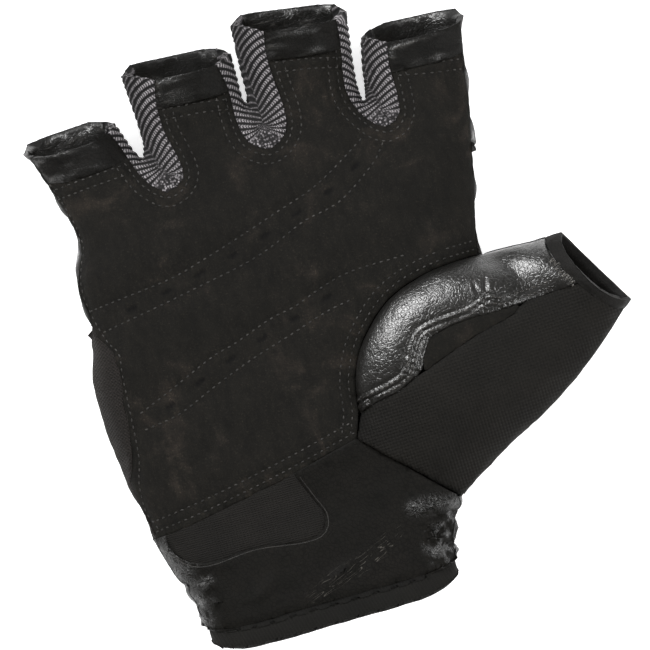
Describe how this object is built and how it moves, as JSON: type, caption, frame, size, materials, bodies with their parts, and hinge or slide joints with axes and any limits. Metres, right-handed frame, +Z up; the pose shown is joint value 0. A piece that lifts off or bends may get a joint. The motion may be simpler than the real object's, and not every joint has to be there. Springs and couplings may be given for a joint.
{
  "type": "weightlifting glove",
  "caption": "Right-hand half-finger lifting glove: padded suede palm, knit finger gussets, mesh back, short padded thumb and bound cuff.",
  "frame": {"origin": "on the floor, at the bottom centre of the bounding box of the glove as it lies on its back, palm up", "axes": "+X across the hand towards the thumb, +Y from the cuff to the fingertips, +Z up out of the palm"},
  "size_m": [0.1512, 0.1696, 0.0372],
  "materials": {
    "suede": "napped black suede, matt",
    "leather": "soft smooth black leather, satin",
    "knit": "diagonally ribbed grey knit",
    "mesh": "black stretch mesh",
    "stretch": "black woven elastic",
    "binding": "black rolled binding"
  },
  "bodies": {
    "root": {"palm_panel": "suede", "thumb_insert": "suede", "little_hem": "leather", "ring_hem": "leather", "middle_hem": "leather", "index_hem": "leather", "fourchette_little_ring": "knit", "fourchette_ring_middle": "knit", "fourchette_middle_index": "knit", "knuckle_leather": "leather", "cuff_palm": "leather", "cuff_back": "leather", "thumb_pad": "leather", "thumb_back": "leather", "thumb_hem_palm": "leather", "thumb_hem_back": "leather", "back_mesh": "mesh", "thumb_mesh": "mesh", "stretch_panel": "stretch", "wrist_binding": "binding", "closure_tab": "binding"}
  },
  "joints": []
}
